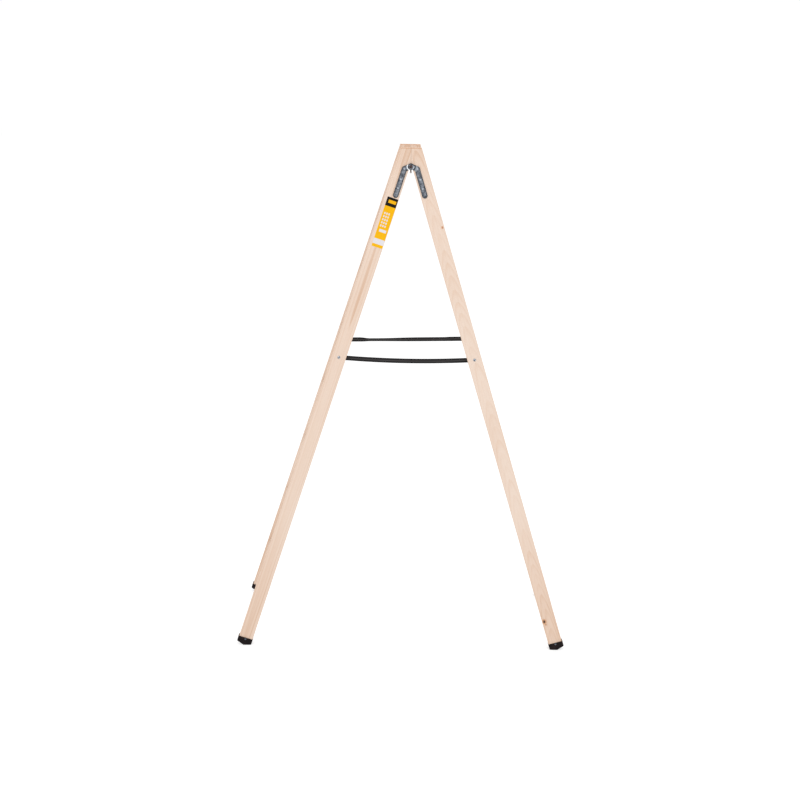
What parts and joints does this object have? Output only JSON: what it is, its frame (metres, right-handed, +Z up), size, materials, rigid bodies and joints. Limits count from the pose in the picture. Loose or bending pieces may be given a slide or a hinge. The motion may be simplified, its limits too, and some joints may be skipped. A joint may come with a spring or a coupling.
{
  "type": "double stepladder",
  "caption": "Folding double-sided wooden stepladder: tapering sections of stiles and rungs, steel top hinges, webbing stay straps and moulded foot caps.",
  "frame": {"origin": "on the floor, below the middle of the hinge line, at the centre of the foot print", "axes": "X is the direction in which the sections stand apart, Y runs along the rungs, Z is up"},
  "size_m": [1.4338, 0.6274, 2.146],
  "materials": {
    "pine": "planed pale softwood, clear matt",
    "black_rubber": "moulded, matt black",
    "grey_steel": "blue-grey zinc plate",
    "zinc_steel": "bright zinc plate",
    "black_webbing": "woven polyester webbing",
    "sticker": "satin film, plain colour fields"
  },
  "bodies": {
    "left_section": {"left_front_stile": "pine", "left_front_foot_cap": "black_rubber", "left_front_hinge_leaf": "grey_steel", "left_rear_stile": "pine", "left_rear_foot_cap": "black_rubber", "left_rear_hinge_leaf": "grey_steel", "left_rung_1": "pine", "left_rung_2": "pine", "left_rung_3": "pine", "left_rung_4": "pine", "left_rung_5": "pine", "left_rung_6": "pine", "left_rung_7": "pine", "left_hinge_screws": "zinc_steel", "left_foot_screws": "zinc_steel", "left_strap_bolts": "zinc_steel", "left_strap_washers": "zinc_steel", "left_strap_nuts": "zinc_steel", "front_strap": "black_webbing", "rear_strap": "black_webbing", "label": "sticker"},
    "right_section": {"right_front_stile": "pine", "right_front_foot_cap": "black_rubber", "right_front_hinge_leaf": "grey_steel", "right_rear_stile": "pine", "right_rear_foot_cap": "black_rubber", "right_rear_hinge_leaf": "grey_steel", "right_rung_1": "pine", "right_rung_2": "pine", "right_rung_3": "pine", "right_rung_4": "pine", "right_rung_5": "pine", "right_rung_6": "pine", "right_rung_7": "pine", "right_hinge_screws": "zinc_steel", "right_foot_screws": "zinc_steel", "right_strap_bolts": "zinc_steel", "right_strap_washers": "zinc_steel", "right_strap_nuts": "zinc_steel"},
    "pivot_pins": {"front_pivot_pin": "grey_steel", "front_pivot_washer": "zinc_steel", "front_split_pin": "zinc_steel", "rear_pivot_pin": "grey_steel", "rear_pivot_washer": "zinc_steel", "rear_split_pin": "zinc_steel"}
  },
  "joints": [
    {"name": "fold", "type": "hinge", "parent": "left_section", "child": "right_section", "pos_m": [0, 0, 2.07113], "axis": [0, 1, 0], "range_deg": [0, 35], "deforming": ["front_strap", "rear_strap"]},
    {"name": "pin_turn", "type": "hinge", "parent": "left_section", "child": "pivot_pins", "pos_m": [0, 0, 2.07113], "axis": [0, 1, 0], "range_deg": [0, 17.5]}
  ],
  "couplings": [
    {"joint": "pin_turn", "follows": "fold", "ratio": 0.5}
  ]
}
